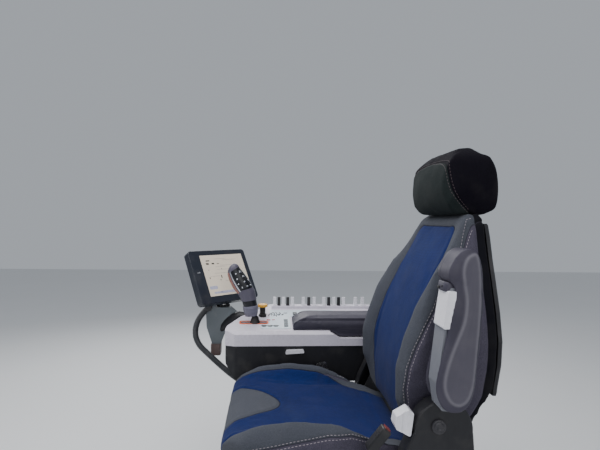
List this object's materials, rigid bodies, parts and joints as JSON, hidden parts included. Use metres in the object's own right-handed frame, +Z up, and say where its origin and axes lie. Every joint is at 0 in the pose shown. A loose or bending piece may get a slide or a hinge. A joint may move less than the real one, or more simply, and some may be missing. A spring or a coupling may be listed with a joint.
{
  "type": "operator seat with control console",
  "caption": "Suspended operator seat with bolstered blue cushions, headrest, folding armrest, joystick console and tilting monitor.",
  "frame": {"origin": "centre of the floor plate's underside, on the floor", "axes": "+Z up, -Y the way the sitter faces, +X to the sitter's left"},
  "size_m": [1.0117, 0.9343, 1.2662],
  "materials": {
    "frame_paint": "satin black paint",
    "zinc_steel": "zinc plated",
    "bar_paint": "black paint",
    "gaiter_rubber": "matt",
    "cover_plastic": "fine grain",
    "blue_fabric": "ribbed weave",
    "headrest_fabric": "woven",
    "rod_steel": "polished",
    "pad_foam": "soft moulded skin",
    "arm_grey": "moulded",
    "pale_lever": "moulded",
    "buckle_black": "moulded",
    "button_red": "moulded",
    "belt_plate": "moulded",
    "console_grey": "fine grain",
    "console_dark": "fine grain",
    "panel_white": "printed film",
    "key_black": "moulded",
    "lever_grey": "moulded",
    "cap_yellow": "moulded",
    "boot_rubber": "matt",
    "grip_dark": "soft touch",
    "bracket_grey": "powder coat",
    "clamp_brown": "weathered coat",
    "monitor_dark": "fine grain",
    "screen_face": "anti-glare",
    "gate_orange": "brush strip",
    "conduit_black": "corrugated"
  },
  "bodies": {
    "base": {"floor_plate": "frame_paint", "lower_frame": "frame_paint", "gaiter": "gaiter_rubber", "suspension_tube": "frame_paint", "upper_frame": "frame_paint", "weight_lever": "cover_plastic", "slide_rails": "zinc_steel"},
    "carriage": {"slide_runners": "zinc_steel", "fore_aft_bar": "bar_paint", "seat_pan": "frame_paint", "cushion": "blue_fabric", "side_plates": "frame_paint", "side_cover_left": "cover_plastic", "side_cover_right": "cover_plastic", "recline_lever": "pale_lever", "belt_buckle": "buckle_black", "buckle_button": "button_red", "belt_retractor": "cover_plastic", "belt_tongue": "belt_plate", "console_arm": "frame_paint", "rail_bar": "zinc_steel"},
    "backrest": {"back_cushion": "blue_fabric", "back_arms": "frame_paint", "back_moulding": "cover_plastic", "headrest_guides": "zinc_steel", "armrest_bracket": "bar_paint"},
    "headrest": {"headrest_pad": "headrest_fabric", "headrest_rods": "rod_steel"},
    "armrest": {"armrest_arm": "arm_grey", "armrest_pad": "pad_foam", "armrest_grip": "pale_lever"},
    "console": {"console_runner": "zinc_steel", "console_tub": "console_dark", "console_deck": "console_grey", "release_lever": "pale_lever", "control_panel": "panel_white", "panel_keys": "key_black", "finger_levers_grey": "lever_grey", "finger_levers_black": "key_black", "stop_knob": "key_black", "stop_knob_cap": "cap_yellow", "joystick_stem": "boot_rubber", "joystick_grip": "grip_dark", "elbow_pad": "pad_foam", "monitor_bracket": "bracket_grey", "bracket_clamp": "clamp_brown", "monitor_yoke": "bar_paint", "conduit": "conduit_black", "conduit_glands": "bar_paint", "joystick_gate": "gate_orange"},
    "monitor": {"monitor_housing": "monitor_dark", "monitor_screen": "screen_face"}
  },
  "joints": [
    {"name": "seat_slide", "type": "slide", "parent": "base", "child": "carriage", "axis": [0, -1, 0], "range_m": [-0.075, 0.075]},
    {"name": "recline", "type": "hinge", "parent": "carriage", "child": "backrest", "pos_m": [0, 0.212, 0.566], "axis": [1, 0, 0], "range_deg": [-23, 17]},
    {"name": "headrest_height", "type": "slide", "parent": "backrest", "child": "headrest", "axis": [0, 0.2079, 0.9781], "range_m": [0, 0.06]},
    {"name": "armrest_fold", "type": "hinge", "parent": "backrest", "child": "armrest", "pos_m": [0.317, 0.212, 0.668], "axis": [1, 0, 0], "range_deg": [0, 100]},
    {"name": "console_slide", "type": "slide", "parent": "carriage", "child": "console", "axis": [0, -1, 0], "range_m": [-0.05, 0.05]},
    {"name": "monitor_tilt", "type": "hinge", "parent": "console", "child": "monitor", "pos_m": [-0.51121, -0.37729, 0.73164], "axis": [-0.6652, 0.7466, 0], "range_deg": [-15, 15]}
  ]
}
